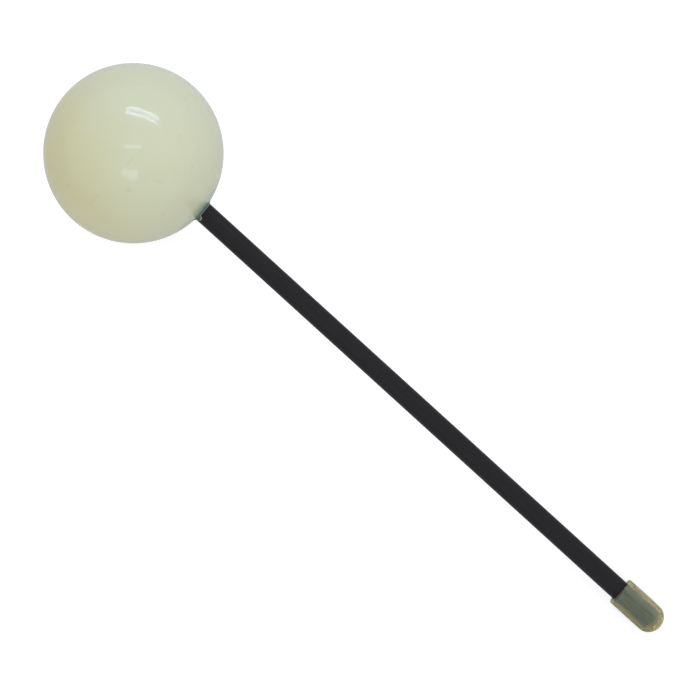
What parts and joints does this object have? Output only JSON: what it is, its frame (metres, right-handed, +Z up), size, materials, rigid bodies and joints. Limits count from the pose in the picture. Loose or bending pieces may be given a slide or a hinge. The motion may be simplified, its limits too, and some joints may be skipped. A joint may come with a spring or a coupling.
{
  "type": "friction mallet",
  "caption": "Rubber-ball friction mallet: a translucent elastomer ball bonded on a slim black rod, with a soft push-on end cap.",
  "frame": {"origin": "on the surface that the mallet lies on, under the middle of its length and under the ball's centre line", "axes": "+X along the rod as seen from above, from the ball to the end cap; +Z up; the rod slopes down towards +X because the ball and the cap lie on one surface"},
  "size_m": [0.2656, 0.06, 0.06],
  "materials": {
    "ball_elastomer": "translucent pale green elastomer, smooth and slightly glossy, with a faint mould line round its middle and a few small specks",
    "rod_fibre": "pultruded black fibre-reinforced plastic, satin, with a fine lengthwise grain",
    "adhesive": "clear cured adhesive, glossy",
    "cap_soft_plastic": "translucent amber soft plastic, smooth and slightly glossy"
  },
  "bodies": {
    "mallet": {"ball_head": "ball_elastomer", "shaft_rod": "rod_fibre", "adhesive_bond": "adhesive"},
    "end_cap": {"end_cap": "cap_soft_plastic"}
  },
  "joints": [
    {"name": "end_cap_pull", "type": "slide", "parent": "mallet", "child": "end_cap", "axis": [0.9942, 0, -0.1075], "range_m": [0, 0.018]}
  ]
}
